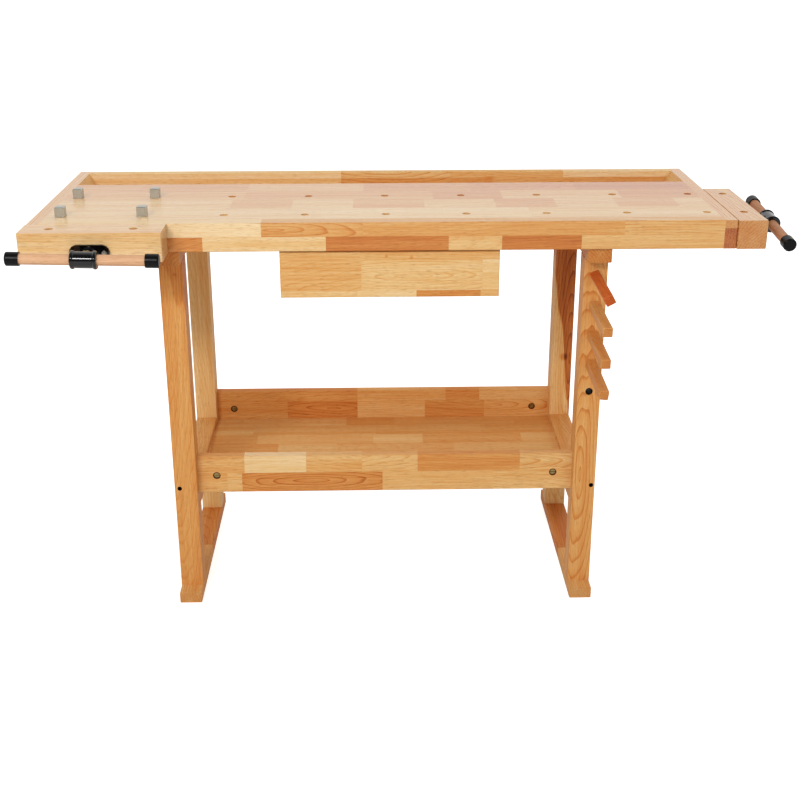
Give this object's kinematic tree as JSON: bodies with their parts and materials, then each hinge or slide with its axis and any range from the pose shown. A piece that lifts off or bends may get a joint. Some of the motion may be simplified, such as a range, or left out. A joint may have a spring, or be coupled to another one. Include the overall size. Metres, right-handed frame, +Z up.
{
  "type": "woodworking bench",
  "caption": "Wooden workbench with dog-holed top, tool tray, front vise and tail vise with bar handles, drawer, shelf, steel bench dogs and support pegs on a leg.",
  "frame": {"origin": "on the floor, under the middle of the benchtop", "axes": "+X to the right along the top, as seen from the front; +Y from the front apron to the back; +Z up"},
  "size_m": [1.4996, 0.6419, 0.8578],
  "materials": {
    "top_wood": "satin lacquer",
    "edge_wood": "satin lacquer",
    "leg_wood": "satin lacquer",
    "rail_wood": "satin lacquer",
    "drawer_wood": "satin lacquer",
    "jaw_wood": "satin lacquer",
    "dowel_wood": "smooth",
    "peg_wood": "satin lacquer",
    "black_plastic": "glossy",
    "black_casting": "gloss paint",
    "bright_steel": "turned",
    "dog_steel": "satin",
    "zinc_steel": "zinc plated"
  },
  "bodies": {
    "base": {"left_runner": "leg_wood", "right_runner": "leg_wood", "left_front_leg": "leg_wood", "left_back_leg": "leg_wood", "right_front_leg": "leg_wood", "right_back_leg": "leg_wood", "left_bearer": "leg_wood", "right_bearer": "leg_wood", "left_mid_rail": "leg_wood", "right_mid_rail": "leg_wood", "front_stretcher": "rail_wood", "back_stretcher": "rail_wood", "shelf": "rail_wood", "top_panel": "top_wood", "front_apron": "edge_wood", "left_end_cap": "edge_wood", "right_end_cap": "edge_wood", "rear_rail": "edge_wood", "tray_front_rail": "edge_wood", "tray_bottom": "edge_wood", "left_tray_ramp": "edge_wood", "right_tray_ramp": "edge_wood", "left_drawer_rail": "rail_wood", "right_drawer_rail": "rail_wood", "stretcher_bolts": "zinc_steel", "barrel_nuts": "zinc_steel", "wood_screws": "zinc_steel", "front_vise_bracket": "black_casting", "tail_vise_bracket": "black_casting"},
    "drawer": {"drawer_front": "drawer_wood", "drawer_left_side": "drawer_wood", "drawer_right_side": "drawer_wood", "drawer_back": "drawer_wood", "drawer_bottom": "drawer_wood"},
    "front_jaw": {"front_vise_jaw": "jaw_wood", "front_vise_plate": "black_casting", "front_vise_plate_bolts": "bright_steel", "front_vise_guide_rods": "bright_steel"},
    "front_screw": {"front_vise_screw": "bright_steel", "front_vise_screw_collar": "bright_steel", "front_vise_hub": "black_casting"},
    "front_handle": {"front_vise_handle": "dowel_wood", "front_vise_handle_caps": "black_plastic"},
    "tail_jaw": {"tail_vise_jaw": "jaw_wood", "tail_vise_plate": "black_casting", "tail_vise_plate_bolts": "bright_steel", "tail_vise_guide_rods": "bright_steel"},
    "tail_screw": {"tail_vise_screw": "bright_steel", "tail_vise_screw_collar": "bright_steel", "tail_vise_hub": "black_casting"},
    "tail_handle": {"tail_vise_handle": "dowel_wood", "tail_vise_handle_caps": "black_plastic"},
    "dog_1": {"bench_dog_1": "dog_steel"},
    "dog_2": {"bench_dog_2": "dog_steel"},
    "dog_3": {"bench_dog_3": "dog_steel"},
    "dog_4": {"bench_dog_4": "dog_steel"},
    "peg_1": {"peg_1": "peg_wood"},
    "peg_2": {"peg_2": "peg_wood"},
    "peg_3": {"peg_3": "peg_wood"},
    "peg_4": {"peg_4": "peg_wood"}
  },
  "joints": [
    {"name": "front_screw_turn", "type": "hinge", "parent": "front_jaw", "child": "front_screw", "pos_m": [-0.551, -0.25, 0.8019], "axis": [0, -1, 0], "range_deg": [0, 10080]},
    {"name": "front_jaw_slide", "type": "slide", "parent": "base", "child": "front_jaw", "axis": [0, -1, 0], "range_m": [0, 0.1401]},
    {"name": "front_handle_slide", "type": "slide", "parent": "front_screw", "child": "front_handle", "axis": [0.9997, 0, -0.0227], "range_m": [-0.08775, 0.09275]},
    {"name": "tail_screw_turn", "type": "hinge", "parent": "tail_jaw", "child": "tail_screw", "pos_m": [0.685, -0.1105, 0.8019], "axis": [1, 0, 0], "range_deg": [0, 10080]},
    {"name": "tail_jaw_slide", "type": "slide", "parent": "base", "child": "tail_jaw", "axis": [1, 0, 0], "range_m": [0, 0.1401]},
    {"name": "tail_handle_slide", "type": "slide", "parent": "tail_screw", "child": "tail_handle", "axis": [0, 0.9959, 0.0906], "range_m": [-0.08325, 0.09725]},
    {"name": "drawer_slide", "type": "slide", "parent": "base", "child": "drawer", "axis": [0, -1, 0], "range_m": [0, 0.22]},
    {"name": "dog_1_lift", "type": "slide", "parent": "base", "child": "dog_1", "axis": [0, 0, 1], "range_m": [0, 0.05]},
    {"name": "dog_2_lift", "type": "slide", "parent": "base", "child": "dog_2", "axis": [0, 0, 1], "range_m": [0, 0.05]},
    {"name": "dog_3_lift", "type": "slide", "parent": "base", "child": "dog_3", "axis": [0, 0, 1], "range_m": [0, 0.05]},
    {"name": "dog_4_lift", "type": "slide", "parent": "base", "child": "dog_4", "axis": [0, 0, 1], "range_m": [0, 0.05]},
    {"name": "peg_1_pull", "type": "slide", "parent": "base", "child": "peg_1", "axis": [0, -1, 0], "range_m": [0, 0.02]},
    {"name": "peg_2_pull", "type": "slide", "parent": "base", "child": "peg_2", "axis": [0, -1, 0], "range_m": [0, 0.02]},
    {"name": "peg_3_pull", "type": "slide", "parent": "base", "child": "peg_3", "axis": [0, -1, 0], "range_m": [0, 0.02]},
    {"name": "peg_4_pull", "type": "slide", "parent": "base", "child": "peg_4", "axis": [0, -1, 0], "range_m": [0, 0.02]}
  ],
  "couplings": [
    {"joint": "front_jaw_slide", "follows": "front_screw_turn", "m_per_rad": 0.00079577},
    {"joint": "tail_jaw_slide", "follows": "tail_screw_turn", "m_per_rad": 0.00079577}
  ]
}
